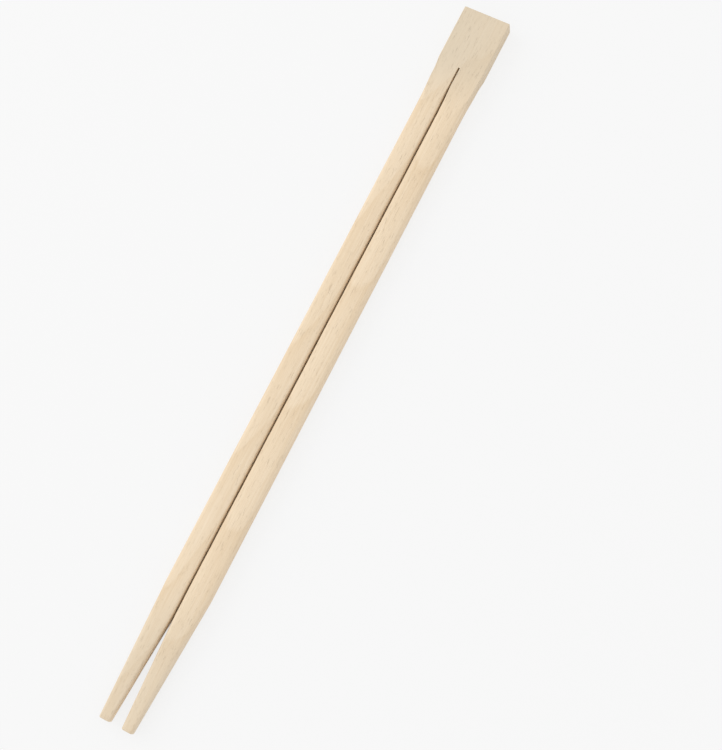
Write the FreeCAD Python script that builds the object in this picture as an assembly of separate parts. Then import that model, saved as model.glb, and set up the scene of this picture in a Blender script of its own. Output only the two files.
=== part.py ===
import FreeCAD, Part

import math
import os

from FreeCAD import Vector

# A pair of disposable wooden chopsticks, still joined. Both sticks are one piece of wood: a planed
# bar is milled rounder below its square head, sawn lengthwise from the tips almost to the head, and
# cut to two blunt points. The pair is pulled apart by hand when it is used.
#
# Frame: the pair lies on its broad underside. X runs along the sticks, with the head at +X and the
# tips at -X, Y runs across the two sticks and Z is up. The origin is under the middle of the pair.
# All sizes are in millimetres.

# the planed bar, which the head still shows
LENGTH = 210.0  # head end to tips
HEAD_WIDTH = 13.4
THICKNESS = 4.8
EDGE_EASE = 0.25  # rounding of the long edges
END_EASE = 0.2  # rounding round the sawn head end

# the milled sticks, and the round cutters that lift out of the wood below the head
SIDE_CUT = 0.42  # wood taken off each side
CROWN_RADIUS = 11.5  # curve across each stick's upper and lower face
CROWN_LAND = 1.0  # width of the planed face that stays along the middle of each curve
OUTER_ROUND = 1.2  # long edges on the outside of the pair
INNER_ROUND = 0.9  # long edges beside the slot, which make a groove over it
SIDE_SETBACK = 16.1  # head end to where the side cutters leave the wood
FACE_SETBACK = 31.2  # head end to where the face cutters start to lift
SIDE_CUTTER_RADIUS = 26.0
FACE_CUTTER_RADIUS = 34.6  # over the middle of a stick

# the slot between the sticks, which the saw blade ends in its own round edge
KERF_WIDTH = 0.5
SLOT_OFFSET = 0.2  # the saw ran this far off the middle of the bar
SLOT_SETBACK = 17.0  # head end to the end of the slot, on the upper face
SAW_RADIUS = 60.0
SAW_RISE = 20.0  # how far the blade stands out above the upper face

# the tips
TAPER_LENGTH = 37.5  # over which both sticks taper
GAP_LENGTH = 31.0  # over which the slot widens to a gap
TIP_GAP = 3.5
TIP_OFFSET = 0.5  # both tips are cut this far off the middle of the bar
TIP_WIDTH = 3.05
TIP_THICKNESS = 2.8
TIP_ROUND = 0.7  # long edges at the tip
TIP_END_ROUND = 0.35  # rounding round the end of each tip

# places that follow from the sizes
HEAD_END = LENGTH / 2
TIP_END = -LENGTH / 2
TAPER_START = TIP_END + TAPER_LENGTH
GAP_START = TIP_END + GAP_LENGTH
KERF_SIDE = KERF_WIDTH / 2
HEAD_SIDE = HEAD_WIDTH / 2
PAIR_SIDE = HEAD_SIDE - SIDE_CUT
MID_HEIGHT = THICKNESS / 2

# every cutting tool reaches this far past the wood
BEYOND = THICKNESS


def lift_length(radius, depth):
    """Length over which a round cutter lifts out of a cut of the given depth."""
    return math.sqrt(radius**2 - (radius - depth) ** 2)


def tapered(x, start, at_start, at_tip):
    """Size at x of what changes evenly from its start to the tips."""
    share = max(0.0, (start - x) / (start - TIP_END))
    return at_start + (at_tip - at_start) * share


def across(shape):
    """The same shape on the other side of the pair."""
    return shape.mirror(Vector(0, 0, 0), Vector(0, 1, 0))


def below(shape):
    """The same shape on the lower face."""
    return shape.mirror(Vector(0, 0, MID_HEIGHT), Vector(0, 0, 1))


def line(x, start, end):
    """Straight edge in a plane across the sticks, between two points (y, z)."""
    return Part.makeLine(Vector(x, *start), Vector(x, *end))


def arc(centre, radius, start, end):
    """Round edge in a plane across the sticks; its angles run from +Y towards +Z."""

    def point(angle):
        return centre + Vector(0, radius * math.cos(angle), radius * math.sin(angle))

    return Part.Arc(point(start), point((start + end) / 2), point(end)).toShape()


class StickTop:
    """The curves over one stick in the plane across it at x: the crown and its two rounded edges."""

    def __init__(self, x, inner, outer, inner_round, outer_round, top):
        self.half_land = math.asin(CROWN_LAND / 2 / CROWN_RADIUS)
        self.crown = Vector(x, (inner + outer) / 2, top - CROWN_RADIUS * math.cos(self.half_land))
        self.inner_round = inner_round
        self.outer_round = outer_round
        self.inner = self.edge_centre(inner + inner_round, inner_round)
        self.outer = self.edge_centre(outer - outer_round, outer_round)

    def edge_centre(self, y, radius):
        """Centre of a rounded edge that runs smoothly into the crown."""
        rise = math.sqrt((CROWN_RADIUS - radius) ** 2 - (y - self.crown.y) ** 2)
        return Vector(self.crown.x, y, self.crown.z + rise)

    def angle_of(self, centre):
        """Angle at which the crown runs into the rounded edge about a centre."""
        return math.atan2(centre.z - self.crown.z, centre.y - self.crown.y)

    def inner_edge(self):
        """The rounded edge beside the slot, from its side up."""
        return arc(self.inner, self.inner_round, math.pi, self.angle_of(self.inner))

    def outer_edge(self):
        """The rounded edge on the outside of the pair, down to its side."""
        return arc(self.outer, self.outer_round, self.angle_of(self.outer), 0)

    def crown_arc(self):
        """The whole crown, which rises a hair above the land."""
        return arc(self.crown, CROWN_RADIUS, self.angle_of(self.inner), self.angle_of(self.outer))

    def crown_with_land(self):
        """The crown, flat along its middle."""
        up = math.pi / 2
        rising = arc(self.crown, CROWN_RADIUS, self.angle_of(self.inner), up + self.half_land)
        falling = arc(self.crown, CROWN_RADIUS, up - self.half_land, self.angle_of(self.outer))
        land = Part.makeLine(rising.Vertexes[-1].Point, falling.Vertexes[0].Point)
        return [rising, land, falling]


def bar():
    """The planed bar from the head end to the tips' start, with its edges eased."""
    corner = Vector(TAPER_START, -HEAD_SIDE, 0)
    solid = Part.makeBox(HEAD_END - TAPER_START, HEAD_WIDTH, THICKNESS, corner)
    long_edges = [edge for edge in solid.Edges if edge.BoundBox.XLength > HEAD_WIDTH]
    solid = solid.makeFillet(EDGE_EASE, long_edges)
    end_edges = [edge for edge in solid.Edges if edge.BoundBox.XMin > HEAD_END - EDGE_EASE]
    return solid.makeFillet(END_EASE, end_edges)


def side_cut():
    """Wood milled off one side by a cutter on an upright axis."""
    lift = HEAD_END - SIDE_SETBACK - lift_length(SIDE_CUTTER_RADIUS, SIDE_CUT)
    height = THICKNESS + 2 * BEYOND
    corner = Vector(TIP_END, PAIR_SIDE, -BEYOND)
    straight = Part.makeBox(lift - TIP_END, SIDE_CUTTER_RADIUS, height, corner)
    centre = Vector(lift, PAIR_SIDE + SIDE_CUTTER_RADIUS, -BEYOND)
    return straight.fuse(Part.makeCylinder(SIDE_CUTTER_RADIUS, height, centre))


def cutter_half(top):
    """Edge of the face cutter over one stick, up its outer side and back to the middle."""
    x = top.crown.x
    shoulder = top.outer.z
    wall = HEAD_SIDE + BEYOND
    ceiling = THICKNESS + BEYOND
    return [
        top.inner_edge(),
        top.crown_arc(),
        top.outer_edge(),
        line(x, (PAIR_SIDE, shoulder), (wall, shoulder)),
        line(x, (wall, shoulder), (wall, ceiling)),
        line(x, (wall, ceiling), (0, ceiling)),
    ]


def face_cutter_profile(x):
    """Edge of the cutter for the upper face: it shapes both sticks and the groove between them."""
    narrow_inner = KERF_SIDE + SLOT_OFFSET
    wide_inner = KERF_SIDE - SLOT_OFFSET
    narrow = StickTop(x, narrow_inner, PAIR_SIDE, INNER_ROUND, OUTER_ROUND, THICKNESS)
    wide = StickTop(x, wide_inner, PAIR_SIDE, INNER_ROUND, OUTER_ROUND, THICKNESS)
    groove = line(x, (narrow_inner, narrow.inner.z), (-wide_inner, wide.inner.z))
    edges = cutter_half(narrow) + [across(edge) for edge in cutter_half(wide)] + [groove]
    return Part.Face(Part.Wire(Part.sortEdges(edges)[0]))


def face_cut():
    """Wood milled off the upper face: straight along the sticks, then a turn of the cutter."""
    lift = HEAD_END - FACE_SETBACK
    straight = face_cutter_profile(TIP_END).extrude(Vector(lift - TIP_END, 0, 0))
    axis = Vector(lift, 0, THICKNESS + FACE_CUTTER_RADIUS)
    return straight.fuse(face_cutter_profile(lift).revolve(axis, Vector(0, 1, 0)))


def saw_cut():
    """The slot: a straight kerf that ends in the round edge of the saw blade."""
    blade_x = HEAD_END - SLOT_SETBACK - lift_length(SAW_RADIUS, SAW_RISE)
    side = SLOT_OFFSET - KERF_SIDE
    height = THICKNESS + 2 * BEYOND
    kerf = Part.makeBox(blade_x - TIP_END, KERF_WIDTH, height, Vector(TIP_END, side, -BEYOND))
    centre = Vector(blade_x, side, THICKNESS + SAW_RISE - SAW_RADIUS)
    return kerf.fuse(Part.makeCylinder(SAW_RADIUS, KERF_WIDTH, centre, Vector(0, 1, 0)))


def tip_section(x, side):
    """Rounded outline at x, where a stick tapers; side is 1 for the narrow stick, -1 for the wide."""
    tip_inner = TIP_GAP / 2 + side * TIP_OFFSET
    inner = tapered(x, GAP_START, KERF_SIDE + side * SLOT_OFFSET, tip_inner)
    outer = tapered(x, TAPER_START, PAIR_SIDE, tip_inner + TIP_WIDTH)
    half_thickness = tapered(x, TAPER_START, THICKNESS, TIP_THICKNESS) / 2
    inner_round = tapered(x, TAPER_START, INNER_ROUND, TIP_ROUND)
    outer_round = tapered(x, TAPER_START, OUTER_ROUND, TIP_ROUND)
    top = StickTop(x, inner, outer, inner_round, outer_round, MID_HEIGHT + half_thickness)
    upper = [top.inner_edge(), *top.crown_with_land(), top.outer_edge()]
    sides = [
        line(x, (inner, THICKNESS - top.inner.z), (inner, top.inner.z)),
        line(x, (outer, THICKNESS - top.outer.z), (outer, top.outer.z)),
    ]
    return Part.Wire(Part.sortEdges(upper + [below(edge) for edge in upper] + sides)[0])


def tip(side):
    """The end of one stick, which tapers on all sides to a blunt, rounded point."""
    sections = [tip_section(x, side) for x in (TAPER_START, GAP_START, TIP_END)]
    solid = Part.makeLoft(sections, True, True)
    end_edges = [edge for edge in solid.Edges if edge.BoundBox.XMax < TIP_END + TIP_END_ROUND]
    return solid.makeFillet(TIP_END_ROUND, end_edges)


def joined_chopsticks():
    """The whole pair, in the order in which it is made."""
    cuts = [side_cut(), across(side_cut()), face_cut(), below(face_cut()), saw_cut()]
    solid = bar().cut(cuts)
    solid = solid.fuse([tip(1), across(tip(-1))])
    return solid.removeSplitter().Solids[0]


os.makedirs("parts", exist_ok=True)
joined_chopsticks().exportStep("parts/joined_chopsticks.step")
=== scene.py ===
import math

import bmesh
import bpy
import numpy as np
from mathutils import Matrix, Vector


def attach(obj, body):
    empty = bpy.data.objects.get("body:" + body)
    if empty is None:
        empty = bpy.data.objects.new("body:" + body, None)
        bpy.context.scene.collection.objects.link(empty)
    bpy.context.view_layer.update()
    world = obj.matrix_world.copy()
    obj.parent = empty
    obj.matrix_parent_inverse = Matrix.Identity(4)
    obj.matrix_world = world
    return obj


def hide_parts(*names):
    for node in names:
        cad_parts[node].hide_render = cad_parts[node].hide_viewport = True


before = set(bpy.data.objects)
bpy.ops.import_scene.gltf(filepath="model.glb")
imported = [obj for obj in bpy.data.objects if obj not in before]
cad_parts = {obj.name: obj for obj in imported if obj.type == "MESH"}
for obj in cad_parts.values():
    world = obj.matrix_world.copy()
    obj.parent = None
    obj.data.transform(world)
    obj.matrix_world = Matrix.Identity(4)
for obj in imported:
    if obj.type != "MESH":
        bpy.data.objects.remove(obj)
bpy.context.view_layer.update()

# %% [markdown]
# # A pair of joined wooden chopsticks
# Two sticks are milled from one planed bar of pale wood and stay joined at its square head. The skin
# is drawn here from the same sizes as the solid, because a formula that gives the solid's surface
# also gives as fine a mesh as the looks need. Everything is in millimetres until a mesh is written,
# and Blender's own unit is the metre. The frame is the part's own: X runs along the sticks with the
# head at +X, Y across, Z up.

# %% Sizes of the wood
MM = 0.001

LENGTH = 210.0  # head end to tips
HEAD_WIDTH = 13.4
THICKNESS = 4.8
EDGE_EASE = 0.25  # rounding of the long edges
END_EASE = 0.2  # rounding round the head end

SIDE_CUT = 0.42  # wood milled off each side
CROWN_RADIUS = 11.5  # curve across each stick's upper and lower face
CROWN_LAND = 1.0  # width of the planed face that stays along the crown
OUTER_ROUND = 1.2  # long edges on the outside of the pair
INNER_ROUND = 0.9  # long edges beside the slot
SIDE_SETBACK = 16.1  # head end to where the side cutters leave the wood
FACE_SETBACK = 31.2  # head end to where the face cutters start to lift
SIDE_CUTTER_RADIUS = 26.0
FACE_CUTTER_RADIUS = 34.6

KERF_WIDTH = 0.5
SLOT_OFFSET = 0.2  # how far the saw ran off the middle
SLOT_SETBACK = 17.0  # head end to the end of the slot, on the upper face
SAW_RADIUS = 60.0
SAW_RISE = 20.0  # how far the blade stands out above the wood

TAPER_LENGTH = 37.5  # over which both sticks taper
GAP_LENGTH = 31.0  # over which the slot widens to a gap
TIP_GAP = 3.5
TIP_OFFSET = 0.5  # how far the middle of the gap is off the middle at the tips
TIP_WIDTH = 3.05
TIP_THICKNESS = 2.8
TIP_ROUND = 0.7  # long edges at the tips
TIP_END_ROUND = 0.35  # rounding round the end of each tip

HEAD_END = LENGTH / 2
TIP_END = -LENGTH / 2
TAPER_START = TIP_END + TAPER_LENGTH
GAP_START = TIP_END + GAP_LENGTH
KERF_SIDE = KERF_WIDTH / 2
HEAD_SIDE = HEAD_WIDTH / 2
PAIR_SIDE = HEAD_SIDE - SIDE_CUT
MID_HEIGHT = THICKNESS / 2
SLOT_END = HEAD_END - SLOT_SETBACK

# %% [markdown]
# ## Camera
# The pair was photographed from nearly overhead, a little from the side of its tips, and it leans
# across the picture. A camera can be placed by eye, or worked out: here a line of sight leans from
# the upright by two small angles, and the camera sits on it at a known distance. Its lens follows
# from the size of the pair in the picture, measured against the picture's longer side, because that
# is the side that Blender's sensor width belongs to.

# %% Camera
PICTURE_WIDTH, PICTURE_HEIGHT = 722, 750
FOCAL_PIXELS = 1445.93  # width in the picture of something as wide as it is far away
SENSOR = 36.0
NEAREST = 0.01  # metres from the lens at which the view starts


def camera_matrix(aim, distance, lean, tilt, roll):
    """Places a camera: back = (-tan lean, -tan tilt, 1), scaled to length 1; it stands at
    aim + distance * back, and the picture's upward edge follows (cos roll, sin roll, 0)."""
    back = Vector((-math.tan(lean), -math.tan(tilt), 1.0)).normalized()
    right = Vector((math.cos(roll), math.sin(roll), 0.0)).cross(back).normalized()
    up = back.cross(right)
    turn = Matrix((right, up, back)).transposed().to_4x4()
    return Matrix.Translation(aim + back * distance) @ turn


camera_data = bpy.data.cameras.new("camera")
camera_data.sensor_width = SENSOR
camera_data.lens = FOCAL_PIXELS * SENSOR / max(PICTURE_WIDTH, PICTURE_HEIGHT)
camera_data.clip_start = NEAREST
camera = bpy.data.objects.new("camera", camera_data)
bpy.context.scene.collection.objects.link(camera)
camera.matrix_world = camera_matrix(
    aim=Vector((1.54, -14.02, 2.5)) * MM,
    distance=374.09 * MM,
    lean=math.radians(9.04),
    tilt=math.radians(11.88),
    roll=math.radians(27.11),
)
bpy.context.scene.camera = camera
print("camera at", [round(v, 3) for v in camera.matrix_world.translation], "m")

# %% [markdown]
# ## How the sizes run along a stick
# Below the head nothing changes for most of the length. Near the tips the width, the thickness and
# the rounded edges shrink evenly, and the slot opens to a gap. Each of these is a straight ramp in x,
# so one function gives them all. Another ramp is the small rounding at both ends, which is drawn as
# an inset: the whole section shrinks by a quarter circle's depth in the last fraction of a
# millimetre.


# %% Ramps
def ramp(x, start, at_start, at_tip):
    """at_start up to start, then evenly to at_tip at the tips: a + (b - a) * share of the way."""
    share = np.clip((start - x) / (start - TIP_END), 0, 1)
    return at_start + (at_tip - at_start) * share


def round_off(distance, radius):
    """Depth of a quarter circle at a distance from the end: r - sqrt(r² - (r - d)²), 0 past r."""
    short = np.clip(radius - distance, 0, radius)
    return radius - np.sqrt(radius**2 - short**2)


half_way = ramp(np.array([TIP_END + TAPER_LENGTH / 2]), TAPER_START, THICKNESS, TIP_THICKNESS)
print("thickness half way down the taper", round(float(half_way[0]), 2), "mm")

# %% [markdown]
# ## Where the cutters leave the wood
# Round cutters mill the sticks and then lift out below the head, so the shoulders are arcs of the
# cutters' own radii. A cutter that is straight along the sticks becomes a turned surface where it
# lifts: a point at depth d under its axis rises along a circle of radius d. The saw blade ends the
# slot in the same way, in an arc of its own radius.

# %% Cutters
FACE_LIFT = HEAD_END - FACE_SETBACK
SIDE_LIFT = HEAD_END - SIDE_SETBACK - math.sqrt(
    SIDE_CUTTER_RADIUS**2 - (SIDE_CUTTER_RADIUS - SIDE_CUT) ** 2
)
BLADE_X = SLOT_END - math.sqrt(SAW_RADIUS**2 - (SAW_RADIUS - SAW_RISE) ** 2)
BLADE_Z = THICKNESS + SAW_RISE - SAW_RADIUS


def lifted(x, z):
    """Height of the face cutter at x where it cuts to z along the sticks: A - sqrt((A - z)² - run²),
    with A the height of its axis and run the distance past the place where it starts to lift."""
    axis = THICKNESS + FACE_CUTTER_RADIUS
    run = np.maximum(x - FACE_LIFT, 0)
    return axis - np.sqrt(np.maximum((axis - z) ** 2 - run**2, 0))


def side_at(x):
    """Half the pair's width: the side cutter's circle, up to the planed side of the head."""
    run = np.clip(x - SIDE_LIFT, 0, SIDE_CUTTER_RADIUS)
    cut = PAIR_SIDE + SIDE_CUTTER_RADIUS - np.sqrt(SIDE_CUTTER_RADIUS**2 - run**2)
    return np.minimum(cut, HEAD_SIDE)


def slot_end(z):
    """x at which the saw blade's round edge ends the slot at height z."""
    return BLADE_X + np.sqrt(SAW_RADIUS**2 - (z - BLADE_Z) ** 2)


print("slot ends at x", round(SLOT_END, 2), "above and", round(float(slot_end(0.0)), 2), "below")

# %% [markdown]
# ## The section of one stick
# Across a stick the upper face is a shallow crown with a rounded edge on each side. The arcs run
# smoothly into each other: a rounded edge's centre lies on a circle about the crown's centre whose
# radius is the difference of both radii. The planed face stays as a narrow land along the crown,
# because every height is the lower of the crown's and the bar's. The lower face is the same upside
# down. The sawn edge wanders by a few hundredths of a millimetre, as a thin blade does in wood.

# %% Section of one stick
ARC_POINTS, CROWN_POINTS = 12, 26
LAND_BLEND = 0.004  # rounding between the crown and its land
WANDER, WANDER_PITCH, WANDER_SEED = 0.025, 19.0, 3
WAVES, STRETCH = 4, (0.85, 1.15)  # sines added up, and how much shorter or longer each may be


def waves(x, seed, pitch):
    """Gentle wandering along x: a sum of sines of random phase, each about twice as fine and half as
    high as the one before."""
    rng = np.random.default_rng(seed)
    total = np.zeros_like(x)
    for octave in range(WAVES):
        phase, stretch = rng.uniform(0, 2 * np.pi), rng.uniform(*STRETCH)
        total += np.sin(2 * np.pi * x / (pitch * stretch / 2**octave) + phase) / 2**octave
    return total / 2


def lower_of(a, b, blend):
    """The lower of two heights, rounded where they cross: the mean of both, less half the root of
    their squared difference plus the squared blend. Where they are far apart the last term, half
    the blend times e^(-difference / blend), has faded and the lower one stays as it is."""
    return (a + b - np.sqrt((a - b) ** 2 + blend**2)) / 2 + blend / 2 * np.exp(-np.abs(a - b) / blend)


def section_top(x, turn):
    """Upper half of a section at each x, from the slot to the outer side, as arrays y and z.
    An arc of centre c and radius r is c + r (cos a, sin a); the end rounding takes e off each r.
    turn is 1 for the stick that the slot makes narrower, and -1 for the wider one."""
    inset = round_off(x - TIP_END, TIP_END_ROUND)
    tip_inner = TIP_GAP / 2 + turn * TIP_OFFSET
    inner = ramp(x, GAP_START, KERF_SIDE + turn * SLOT_OFFSET, tip_inner)
    inner = inner + WANDER * waves(x, WANDER_SEED + turn, WANDER_PITCH)
    outer = ramp(x, TAPER_START, PAIR_SIDE, tip_inner + TIP_WIDTH)
    top = MID_HEIGHT + ramp(x, TAPER_START, THICKNESS, TIP_THICKNESS) / 2
    inner_round = ramp(x, TAPER_START, INNER_ROUND, TIP_ROUND)
    outer_round = ramp(x, TAPER_START, OUTER_ROUND, TIP_ROUND)
    crown_y = (inner + outer) / 2
    crown_z = top - math.sqrt(CROWN_RADIUS**2 - (CROWN_LAND / 2) ** 2)

    def rounded_edge(y, radius):
        """Height of a rounded edge's centre at y, sqrt((R - r)² - (y - crown's y)²) above the crown's
        centre, and the angle at which the crown runs into it."""
        z = crown_z + np.sqrt((CROWN_RADIUS - radius) ** 2 - (y - crown_y) ** 2)
        return z, np.arctan2(z - crown_z, y - crown_y)

    def arc(y, z, radius, start, end, share):
        """Points of an arc about (y, z), at shares of the way from one angle to another."""
        angle = start + (end - start) * share
        return y + (radius - inset) * np.cos(angle), z + (radius - inset) * np.sin(angle)

    inner_y, outer_y = inner + inner_round, outer - outer_round
    inner_z, inner_turn = rounded_edge(inner_y, inner_round)
    outer_z, outer_turn = rounded_edge(outer_y, outer_round)
    edge = np.linspace(0, 1, ARC_POINTS)[None, :]
    over = np.linspace(0, 1, CROWN_POINTS)[None, 1:-1]
    arcs = [
        arc(inner_y, inner_z, inner_round, np.pi, inner_turn, edge),
        arc(crown_y, crown_z, CROWN_RADIUS, inner_turn, outer_turn, over),
        arc(outer_y, outer_z, outer_round, outer_turn, 0.0, edge),
    ]
    y, z = (np.concatenate(values, axis=1) for values in zip(*arcs))
    return y, lower_of(z, top - inset, LAND_BLEND)


y, z = section_top(np.zeros((1, 1)), 1)
print("half a section:", y.shape[1], "points, crown height over its edges", round(float(np.ptp(z)), 2))

# %% [markdown]
# ## From the section to the head
# The head is what no cutter reached. It could be a box of its own, joined to the sticks by a seam,
# but the real wood has none: the cutters just rise out of it. So the same section runs on into the
# head, lifted by the cutter and kept inside the planed bar with its eased edges.

# %% Head
SKIN_BLEND = 0.03  # rounding where a cutter leaves the planed face


def ease(t):
    """Smooth step: 3t² - 2t³ between 0 and 1."""
    t = np.clip(t, 0, 1)
    return t * t * (3 - 2 * t)


def onto_bar(x, y, z):
    """Lifts a milled top with its cutter and keeps it inside the planed bar: heights are at most the
    bar's top less its eased edge, and the outer edge moves out to the head's side."""
    end = round_off(HEAD_END - x, END_EASE)
    reach = side_at(x) - PAIR_SIDE
    margin = 2 * OUTER_ROUND
    outward = ease((y - (PAIR_SIDE - margin)) / margin)
    y = y + reach * outward
    y = np.where(outward > 0, np.minimum(y, HEAD_SIDE - end), y)
    bar = THICKNESS - end - round_off(HEAD_SIDE - end - y, EDGE_EASE)
    return y, lower_of(lifted(x, z), bar, SKIN_BLEND)


x = np.array([[SLOT_END]])
y, z = onto_bar(x, *section_top(x, 1))
print("at the slot's end the sticks are", round(2 * float(y.max()), 2), "mm wide")

# %% [markdown]
# ## Stations
# The grid has a line of points across the stick at each station. The stations are evenly spaced
# along the sticks, closer where the cutters lift, and closest over the rounded ends. One of them is
# the end of the slot. The blade ends the slot on a slant, nearer to the head end below than above.
# So each line near it leans along x by the blade's lead at its height, and the wall of the slot ends
# on a line too.

# %% Stations
LEAN_ALONG, LEAN_HEAD = 30.0, 14.0  # over which the lean fades, before and past the slot's end
TIP_ROWS, SHAFT_ROWS, SHOULDER_ROWS, HEAD_ROWS, END_ROWS = 7, 240, 100, 30, 6


def rounded_end(end, reach, count):
    """Stations over a rounded end, closer together towards it: end + reach (1 - cos a), a to 90
    degrees."""
    return end + reach * (1 - np.cos(np.linspace(0, np.pi / 2, count)))


def station_shift(x, share):
    """How far a grid line leans along x so that it meets the slanted end of the slot: the blade's
    lead at that share of the height, faded out along the sticks and towards the head end."""
    lead = slot_end(THICKNESS * (1 - share)) - SLOT_END
    before, past = (x - SLOT_END + LEAN_ALONG) / LEAN_ALONG, (SLOT_END + LEAN_HEAD - x) / LEAN_HEAD
    return lead * np.where(x < SLOT_END, ease(before), ease(past))


stretches = [
    rounded_end(TIP_END, TIP_END_ROUND, TIP_ROWS),
    np.linspace(TIP_END + TIP_END_ROUND, FACE_LIFT, SHAFT_ROWS),
    np.linspace(FACE_LIFT, SLOT_END, SHOULDER_ROWS),
    np.linspace(SLOT_END, HEAD_END - END_EASE, HEAD_ROWS),
    rounded_end(HEAD_END, -END_EASE, END_ROWS),
]
STATIONS = np.unique(np.concatenate(stretches).round(6))
SLOT_STATION = int(np.argmin(np.abs(STATIONS - SLOT_END)))
print(len(STATIONS), "stations, slot ends at number", SLOT_STATION)

# %% [markdown]
# ## Grid of one stick
# The skin of a stick is one grid: stations along it by points round the section, from the slot over
# the top, down the outer side and back under to the slot. The sawn wall is a second grid between the
# first and the last line of the skin. A grid is exact where a cut through a box would leave long thin
# faces, and its points are a formula of x, so no line has to be drawn by hand.

# %% Grid of one stick
SIDE_POINTS, WALL_POINTS = 9, 9


def ruled(x, start, end, count):
    """Straight lines from each point of one edge to the matching point of another, both left out;
    their points lean along x with the end of the slot."""
    share = np.linspace(0, 1, count)[None, 1:-1]
    edge = start[:, None] * (1 - share[..., None]) + end[:, None] * share[..., None]
    edge[..., 0] = x + station_shift(x, share)
    return edge


def stick_skin(x, turn):
    """Outside of the stick on the +Y side: an array of points, stations by profile points. The lower
    half is the upper one with its heights taken from the thickness, in the opposite order."""
    low_x = x + station_shift(x, 1.0)
    upper = np.stack(np.broadcast_arrays(x, *onto_bar(x, *section_top(x, turn))), axis=2)
    lower = np.stack(np.broadcast_arrays(low_x, *onto_bar(low_x, *section_top(low_x, turn))), axis=2)
    lower = (lower * (1, 1, -1) + (0, 0, THICKNESS))[:, ::-1]
    side = ruled(x, upper[:, -1], lower[:, 0], SIDE_POINTS)
    planed = side_at(side[..., 0]) - round_off(HEAD_END - side[..., 0], END_EASE)
    side[..., 1] = np.where(side[..., 0] > SIDE_LIFT, planed, side[..., 1])
    return np.concatenate([upper, side, lower], axis=1)


def sawn_wall(x, skin):
    """Wall of the slot, from the upper edge of the skin down to its lower edge."""
    middle = ruled(x, skin[:, 0], skin[:, -1], WALL_POINTS)
    return np.concatenate([skin[:, :1], middle, skin[:, -1:]], axis=1)


skins, walls = {}, {}
for mirror in (1, -1):
    skin = stick_skin(STATIONS[:, None], mirror)
    skins[mirror] = skin * (1, mirror, 1)
    walls[mirror] = sawn_wall(STATIONS[:, None], skin) * (1, mirror, 1)
print("each skin is a grid of", skins[1].shape[:2], "points, each wall", walls[1].shape[:2])

# %% [markdown]
# ## Patches
# The two sticks, the walls of the slot and the ends are separate grids so far. Each piece of skin is
# added with its own points, and points that meet are merged afterwards, which is simpler than
# numbering the shared edges and gives the same closed mesh. Each face also keeps what made it: the
# planer, the saw, or the cut across the end.

# %% Patches
PLANED, SAWN, CUT_ACROSS = 0.0, 1.0, 2.0


class Patches:
    """Collects grids and end faces as one list of points and faces."""

    def __init__(self):
        self.points, self.faces, self.kinds, self.count = [], [], [], 0

    def grid(self, points, kind):
        """Adds a grid (rows, columns, 3) with a face in each of its cells."""
        rows, columns = points.shape[:2]
        number = self.count + np.arange(rows * columns).reshape(rows, columns)
        cells = np.stack([number[:-1, :-1], number[1:, :-1], number[1:, 1:], number[:-1, 1:]], axis=2)
        self.add(points.reshape(-1, 3), cells.reshape(-1, 4).tolist(), kind)

    def end(self, outline, kind):
        """Adds one flat face inside a closed outline (points, 3)."""
        face = (self.count + np.arange(len(outline))).tolist()
        self.add(outline, [face], kind)

    def add(self, points, faces, kind):
        """Adds points, and faces that name them by their numbers in the whole list."""
        self.points.append(points)
        self.faces += faces
        self.kinds += [kind] * len(faces)
        self.count += len(points)


patches = Patches()
for mirror in (1, -1):
    patches.grid(skins[mirror], PLANED)
    patches.grid(walls[mirror][: SLOT_STATION + 1], SAWN)
    patches.end(np.concatenate([skins[mirror][0], walls[mirror][0, -2:0:-1]]), CUT_ACROSS)
print(patches.count, "points in", len(patches.faces), "faces for the sticks")

# %% [markdown]
# ## Where the sticks are joined
# Past the end of the slot the two skins are bridged by a strip above and one below. The end of the
# slot itself is a narrow root between its walls, and the head end is one flat face round both
# sticks and both strips.

# %% Joined head
STRIP_POINTS = 4


def strip(start, end):
    """Straight rows from each point of one line to the matching point of another."""
    share = np.linspace(0, 1, STRIP_POINTS)[None, :, None]
    return start[:, None, :] * (1 - share) + end[:, None, :] * share


root = strip(walls[1][SLOT_STATION], walls[-1][SLOT_STATION])
above = strip(skins[1][SLOT_STATION:, 0], skins[-1][SLOT_STATION:, 0])
under = strip(skins[1][SLOT_STATION:, -1], skins[-1][SLOT_STATION:, -1])
patches.grid(root, SAWN)
patches.grid(above, PLANED)
patches.grid(under, PLANED)
outline = [skins[1][-1], under[-1, 1:-1], skins[-1][-1, ::-1], above[-1, -2:0:-1]]
patches.end(np.concatenate(outline), CUT_ACROSS)
print(patches.count, "points in", len(patches.faces), "faces with the head")

# %% [markdown]
# ## From patches to a mesh
# The real pair is one piece of wood, so the mesh is one closed skin as well. Points that lie closer
# than two thousandths of a millimetre become one, and each face keeps the kind of surface it is.
# Shading is smooth, except over edges that turn by more than 30 degrees. The closed skin's volume
# should be that of the solid, about 10.8 cubic centimetres.

# %% Mesh
MERGE = 0.002 * MM
NO_LENGTH = MERGE / 10  # an edge shorter than this is none
SHARP_TURN = math.radians(30)


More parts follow.
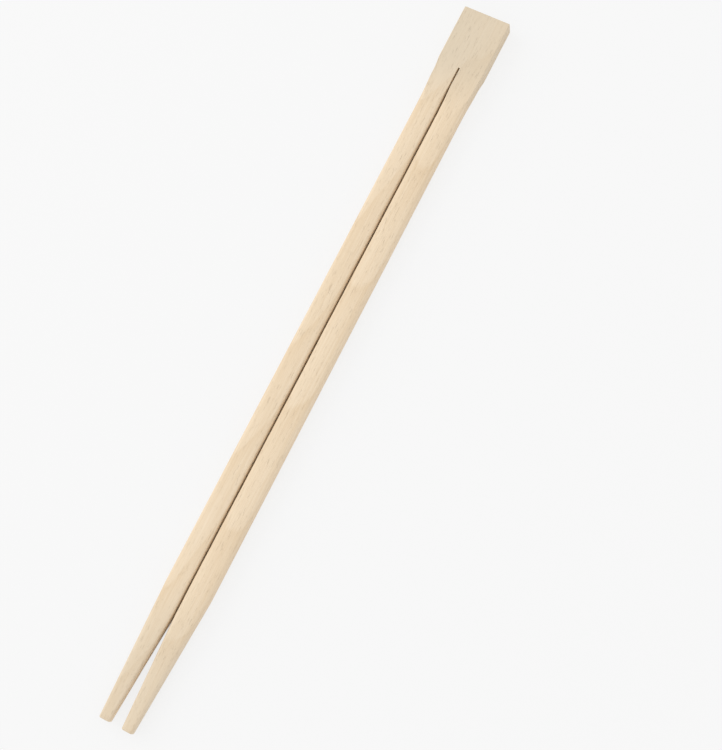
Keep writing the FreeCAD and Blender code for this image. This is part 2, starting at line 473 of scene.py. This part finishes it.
def closed_mesh(name, patches):
    """Writes the patches as one mesh, merges the points that meet and turns all faces outwards."""
    points = np.concatenate(patches.points) * MM
    mesh = bpy.data.meshes.new(name)
    mesh.from_pydata(points, [], patches.faces)
    surface = mesh.attributes.new("surface", "FLOAT", "FACE")
    surface.data.foreach_set("value", patches.kinds)
    work = bmesh.new()
    work.from_mesh(mesh)
    bmesh.ops.remove_doubles(work, verts=work.verts, dist=MERGE)
    bmesh.ops.dissolve_degenerate(work, edges=work.edges, dist=NO_LENGTH)
    bmesh.ops.recalc_face_normals(work, faces=work.faces)
    open_edges = sum(1 for edge in work.edges if not edge.is_manifold)
    volume = work.calc_volume() / MM**3
    work.to_mesh(mesh)
    work.free()
    mesh.shade_smooth()
    mesh.set_sharp_from_angle(angle=SHARP_TURN)
    print(name, len(mesh.polygons), "faces, open edges", open_edges, "volume", round(volume), "mm3")
    return mesh


pair = bpy.data.objects.new("chopstick_pair", closed_mesh("chopstick_pair", patches))
bpy.context.scene.collection.objects.link(pair)
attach(pair, "root")
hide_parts("joined_chopsticks")

# %% [markdown]
# ## Shader sums as Python
# Wood is easiest to write as arithmetic: distance from the pith, rings, streaks. Blender has a node
# for each sum, and a graph of them is hard to read. A small class wraps a socket, so that an
# expression on it adds the nodes it needs.


# %% Sockets with arithmetic
class Value:
    """A number that varies over the surface: the output socket of a node."""

    def __init__(self, maker, socket):
        self.maker, self.socket = maker, socket

    def apply(self, operation, *others):
        """Adds a Math node, such as FRACT or MAXIMUM, of this value and the others."""
        return self.maker.sum(operation, self, *others)

    def __add__(self, other):
        return self.maker.sum("ADD", self, other)

    def __sub__(self, other):
        return self.maker.sum("SUBTRACT", self, other)

    def __rsub__(self, other):
        return self.maker.sum("SUBTRACT", other, self)

    def __mul__(self, other):
        return self.maker.sum("MULTIPLY", self, other)

    def __truediv__(self, other):
        return self.maker.sum("DIVIDE", self, other)

    def __pow__(self, other):
        return self.maker.sum("POWER", self, other)

    __radd__ = __add__
    __rmul__ = __mul__

    def rise(self, low, high):
        """0 below low, 1 above high and a smooth step between."""
        settings = {"interpolation_type": "SMOOTHSTEP"}
        inputs = {"Value": self, "From Min": low, "From Max": high}
        return self.maker.node("ShaderNodeMapRange", settings, inputs)


print("+ - * / and ** on a Value each add one Math node")

# %% [markdown]
# ## A material being made
# A second class holds the node tree of one material and adds nodes to it. Settings come before
# sockets, because some settings, such as the type of a Mix node, decide which sockets there are.


# %% Materials
class Finish:
    """A material being made, with its shader and a few helpers."""

    def __init__(self, name):
        self.material = bpy.data.materials.new(name)
        self.material.use_nodes = True
        self.tree = self.material.node_tree
        self.shader = self.tree.nodes["Principled BSDF"]

    def node(self, kind, settings, inputs, output=0):
        """Adds a node: its settings are set first, then the values or links of its sockets."""
        made = self.tree.nodes.new(kind)
        for name, value in settings.items():
            setattr(made, name, value)
        for name, value in inputs.items():
            self.feed(made.inputs[name], value)
        return Value(self, made.outputs[output])

    def place(self):
        """Where a point lies, in metres from the origin of its piece."""
        return self.node("ShaderNodeTexCoord", {}, {}, output="Object")

    def axes(self, place):
        """The parts of a place along X, Y and Z."""
        split = self.node("ShaderNodeSeparateXYZ", {}, {0: place})
        return [Value(self, part) for part in split.socket.node.outputs]

    def feed(self, socket, value):
        """Sets a socket, or links it to a value."""
        if isinstance(value, Value):
            self.tree.links.new(value.socket, socket)
        else:
            socket.default_value = value

    def sum(self, operation, *values):
        """Adds a Math node for the operation on these values."""
        return self.node("ShaderNodeMath", {"operation": operation}, dict(enumerate(values)))

    def mix(self, share, first, second):
        """Colour between two others; the colour sockets of a Mix node are its sixth and seventh."""
        settings = {"data_type": "RGBA"}
        return self.node("ShaderNodeMix", settings, {0: share, 6: first, 7: second}, output=2)

    def noise(self, place, pitch, detail, roughness):
        """Noise between 0 and 1 whose grains are about a pitch in metres long along each axis."""
        scale = tuple(1 / size for size in pitch)
        place = self.node("ShaderNodeVectorMath", {"operation": "MULTIPLY"}, {0: place, 1: scale})
        inputs = {"Vector": place, "Scale": 1.0, "Detail": detail, "Roughness": roughness}
        return self.node("ShaderNodeTexNoise", {"noise_dimensions": "3D"}, inputs)


wood, paper = Finish("pale_wood"), Finish("paper")
print("materials:", wood.material.name, "and", paper.material.name)

# %% [markdown]
# ## Pale wood: growth rings
# Such chopsticks are cut from aspen or birch, which is bought for being plain: faint rings, long fine
# fibres and short pores. A picture wrapped round the mesh would smear over the edges, so the pattern
# is made in three dimensions and runs through the wood: lines along the sticks on the faces, arcs
# and dots on the ends. Rings are shells about a pith far below the bar and a little askew to it, so
# that the milled crowns cut them in long loops. A shader's Object coordinates are in metres, so each
# of its sizes is turned from millimetres with MM.

# %% Growth rings
RING_PITCH = 2.1 * MM
PITH_SIDE, PITH_DEPTH = 6 * MM, 41 * MM
SIDE_SLOPE, DEPTH_SLOPE = 0.02, 0.055
RING_DRIFT, DRIFT_SIZE = 2.2 * MM, (90, 12)
LATE_POWER, RING_EDGE = 3, (0.93, 1.0)  # a ring deepens with this power and ends at its edge

place = wood.place()
along, side, height = wood.axes(place)


def grain(length, width, detail=2.0, roughness=0.5):
    """Noise whose grains are a length along the sticks and a width across them, in millimetres."""
    return wood.noise(place, (length * MM, width * MM, width * MM), detail, roughness)


drift = grain(*DRIFT_SIZE)
pith_y = side + PITH_SIDE + along * SIDE_SLOPE
pith_z = height + PITH_DEPTH + along * DEPTH_SLOPE
radius = (pith_y * pith_y + pith_z * pith_z).apply("SQRT") + drift * RING_DRIFT
ring = (radius / RING_PITCH).apply("FRACT")
late_wood = ring**LATE_POWER * (1 - ring.rise(*RING_EDGE))
print("about", round(LENGTH * MM * DEPTH_SLOPE / RING_PITCH), "rings cross the upper face")

# %% [markdown]
# ## Fibres and pores
# Within the rings the wood is made of fibres, seen as fine lines, and of pores, which the planer
# opens as short dark scratches. All are the same noise, drawn out along the sticks by more or less:
# a slow cloud in the tone, streaks, fibres, and pores where a finer noise is at its highest.

# %% Fibres and pores
CLOUD, STREAK, FIBRE, PORE = (70, 6), (30, 0.6), (9, 0.16), (2.8, 0.11)  # length, width in mm
PORE_DEPTH = (0.66, 0.78)  # height of the noise where a pore starts and where it is deepest

cloud = grain(*CLOUD, detail=3.0)
streak = grain(*STREAK, detail=3.0, roughness=0.6)
fibre = grain(*FIBRE, detail=3.0, roughness=0.65)
pore = grain(*PORE, detail=1.0).rise(*PORE_DEPTH)
print("streaks", STREAK[1], "mm, fibres", FIBRE[1], "mm and pores", PORE[1], "mm wide")

# %% [markdown]
# ## Which surface it is
# The planer, the saw and the cut across the end leave different surfaces, and the face's own kind
# tells them apart. The head and the tips are a little greyer and darker than the milled wood
# between them, so a second measure grows towards both ends.

# %% Surfaces
# how grey each end is, and between which x that fades; then how much the cloud changes it
GREY_HEAD, HEAD_FADE = 0.5, (72 * MM, 92 * MM)
GREY_TIPS, TIPS_FADE = 0.33, (-90 * MM, -62 * MM)
GREY_CLEAR, GREY_CLOUD = 1.3, 0.6

kind = wood.node("ShaderNodeAttribute", {"attribute_name": "surface"}, {}, output="Fac")
sawn, end_grain = (kind.apply("COMPARE", made_by, 0.5) for made_by in (SAWN, CUT_ACROSS))
# the head end and the tips are made greyer and darker in colour
end_greying = GREY_HEAD * along.rise(*HEAD_FADE) + GREY_TIPS * (1 - along.rise(*TIPS_FADE))
end_greying = end_greying * (GREY_CLEAR - GREY_CLOUD * cloud) * (1 - sawn)
print("faces sawn:", patches.kinds.count(SAWN), "cut across:", patches.kinds.count(CUT_ACROSS))

# %% [markdown]
# ## Colour of the wood
# Wood cut across is deeper in tone, because its open fibres swallow light, and shows its rings more;
# the walls that the saw left are paler, partly as fresh sawn wood is and partly as painted light on
# walls that lie in shade between the sticks. The pattern could colour each part on its own, but one
# tone between a pale and a deep colour keeps all of them the same wood.


# %% Colour
def linear(red, green, blue):
    """A colour as seen on screen (0 to 255) as Blender's linear colour: ((c + 0.055) / 1.055)^2.4."""
    share = np.array([red, green, blue]) / 255
    value = np.where(share > 0.04045, ((share + 0.055) / 1.055) ** 2.4, share / 12.92)
    return (*value.tolist(), 1.0)


PALE, DEEP, GREYED = linear(240, 222, 196), linear(212, 183, 143), linear(206, 194, 173)
MEAN_TONE = 0.31
# how much each part of the pattern deepens the tone; noise lies around 0.5
CLOUD_TONE, STREAK_TONE, FIBRE_TONE = 0.36, 0.58, 0.60
RING_TONE, PORE_TONE, SAWN_PALE_AND_PAINTED_LIGHT = 0.24, 0.24, 0.22
END_TONE, END_RING_TONE = 0.18, 0.45

tone = CLOUD_TONE * (cloud - 0.5) + STREAK_TONE * (streak - 0.5) + FIBRE_TONE * (fibre - 0.5)
tone = tone + RING_TONE * late_wood + PORE_TONE * pore
# the sawn walls are made paler: partly paler fresh sawn wood, partly painted light on walls in shade
tone = tone + end_grain * (END_TONE + END_RING_TONE * late_wood) - SAWN_PALE_AND_PAINTED_LIGHT * sawn
tone = (tone + MEAN_TONE).apply("MAXIMUM", 0.0).apply("MINIMUM", 1.0)
colour = wood.mix(end_greying, wood.mix(tone, PALE, DEEP), GREYED)
wood.feed(wood.shader.inputs["Base Color"], colour)
print("pale", [round(v, 2) for v in PALE[:3]], "deep", [round(v, 2) for v in DEEP[:3]])

# %% [markdown]
# ## Relief and gloss
# Planed wood is smooth but not polished: its fibres stand up a little, pores are small pits, and the
# planer's knives leave faint steps. The saw leaves upright scores on the walls of the slot, and the
# cut ends are rough. All of that is shallower than the mesh is fine, so a bump draws it.

# %% Relief
PLANER_STEP, PLANER_DRIFT = 1.3 * MM, 6
SAW_SCORE, END_FIBRE = (0.4, 4), (0.6, 0.09)
BUMP_DEPTH, BUMP_STRENGTH = 0.08 * MM, 0.8
# heights as shares of the bump's depth
FIBRE_RISE, STREAK_RISE, PORE_SINK, PLANER_RISE = 0.8, 0.35, 0.7, 0.03
SCORE_RISE, END_RISE = 0.9, 1.2
ROUGHNESS, FIBRE_ROUGHNESS, SAWN_ROUGHNESS = 0.60, 0.10, 0.12
SPECULAR = 0.35

planer = (along * (2 * math.pi / PLANER_STEP) + PLANER_DRIFT * drift).apply("SINE")
saw_scores = grain(*SAW_SCORE)
rough_end = grain(*END_FIBRE)
relief = FIBRE_RISE * fibre + STREAK_RISE * streak - PORE_SINK * pore + PLANER_RISE * planer
relief = relief + SCORE_RISE * sawn * saw_scores + END_RISE * end_grain * rough_end
inputs = {"Height": relief, "Distance": BUMP_DEPTH, "Strength": BUMP_STRENGTH}
wood.feed(wood.shader.inputs["Normal"], wood.node("ShaderNodeBump", {}, inputs))
roughness = ROUGHNESS + FIBRE_ROUGHNESS * (fibre - 0.5) + SAWN_ROUGHNESS * sawn
wood.feed(wood.shader.inputs["Roughness"], roughness)
wood.shader.inputs["Specular IOR Level"].default_value = SPECULAR
pair.data.materials.append(wood.material)
print("wood:", len(wood.tree.nodes), "nodes")

# %% [markdown]
# ## Floor
# The pair lies on a plain pale sheet, far wider than the picture. It could be a disc or a curved
# backdrop, but from nearly overhead a flat square shows no edge. It lies a hair under z = 0, so that
# it and the underside of the wood aren't two faces in one plane.

# %% Floor
FLOOR_SIZE = 4.0
FLOOR_DROP = 0.02 * MM


def floor_mesh():
    """A flat square, its corners half a side from the middle along X and Y."""
    half = FLOOR_SIZE / 2
    corners = np.array([(-half, -half), (half, -half), (half, half), (-half, half)])
    corners = np.column_stack([corners, np.full(len(corners), -FLOOR_DROP)])
    mesh = bpy.data.meshes.new("floor")
    mesh.from_pydata(corners, [], [(0, 1, 2, 3)])
    return mesh


floor = bpy.data.objects.new("floor", floor_mesh())
bpy.context.scene.collection.objects.link(floor)
floor.data.materials.append(paper.material)
print("floor", FLOOR_SIZE, "m wide")

# %% [markdown]
# ## How the sheet is shown
# A sheet can be left to the lamps alone, which draws a grey shadow that the photograph doesn't have,
# or shown by its colour alone, which makes the wood float. Here the camera sees a mix: mostly the
# sheet's own colour, and enough of its shaded surface for the soft line where the wood touches it.
# What glossy surfaces mirror is shown the same way. Under the slot the sheet is left to the lamps,
# because its own colour would glow through so narrow a cut. That strip ends where the gap has opened
# and under the head, which hides it.

# %% Sheet
SHEET, SHEET_ROUGHNESS = linear(247, 247, 247), 0.9
OWN_COLOUR_SHARE = 0.84
# where the strip under the slot fades: in x at both ends, and by its distance from the middle line
SHADED_TIPS, SHADED_HEAD = (GAP_START - 6, GAP_START), (SLOT_END + 5, HEAD_END - 2)
SHADED_SIDE = (1, 3)

paper.shader.inputs["Base Color"].default_value = SHEET
paper.shader.inputs["Roughness"].default_value = SHEET_ROUGHNESS
paper.shader.inputs["Specular IOR Level"].default_value = 0.0
sheet_x, sheet_y = (part / MM for part in paper.axes(paper.place())[:2])
shaded_length = sheet_x.rise(*SHADED_TIPS) - sheet_x.rise(*SHADED_HEAD)
under_slot = shaded_length * (1 - sheet_y.apply("ABSOLUTE").rise(*SHADED_SIDE))
rays = paper.tree.nodes.new("ShaderNodeLightPath").outputs
shown = ("Is Camera Ray", "Is Glossy Ray", "Is Transmission Ray")
seen = sum(Value(paper, rays[name]) for name in shown).apply("MINIMUM", 1.0)
own = paper.node("ShaderNodeEmission", {}, {"Color": SHEET, "Strength": 1.0})
shares = {0: seen * OWN_COLOUR_SHARE * (1 - under_slot), 1: Value(paper, paper.shader.outputs[0])}
surface = paper.node("ShaderNodeMixShader", {}, shares | {2: own})
paper.feed(paper.tree.nodes["Material Output"].inputs["Surface"], surface)
print("sheet shown", OWN_COLOUR_SHARE, "by its own colour, but not from x", GAP_START, "to", SLOT_END)

# %% [markdown]
# ## Light
# The light comes evenly from all around, with a little more from a low window on the left, so that
# each crown is brightest on its left side and dulls towards the right. An even white world gives
# most of it and one large, soft lamp the rest.

# %% Light
SKY_STRENGTH = 0.93
WINDOW_SPOT, WINDOW_SIZE, WINDOW_POWER = (0.10, 0.95, 0.55), 0.8, 3.7

world = bpy.data.worlds.new("world")
world.use_nodes = True
bpy.context.scene.world = world
sky = world.node_tree.nodes["Background"].inputs
sky["Color"].default_value = (1.0, 1.0, 1.0, 1.0)
sky["Strength"].default_value = SKY_STRENGTH

window_light = bpy.data.lights.new("window", "AREA")
window_light.shape, window_light.size = "SQUARE", WINDOW_SIZE
window_light.energy = WINDOW_POWER
window = bpy.data.objects.new("window", window_light)
bpy.context.scene.collection.objects.link(window)
window.location = WINDOW_SPOT
window.rotation_euler = (-Vector(WINDOW_SPOT)).to_track_quat("-Z", "Y").to_euler()
bpy.context.scene.view_settings.view_transform = "Standard"
print("sky", SKY_STRENGTH, "and a window", round(Vector(WINDOW_SPOT).length, 2), "m away")
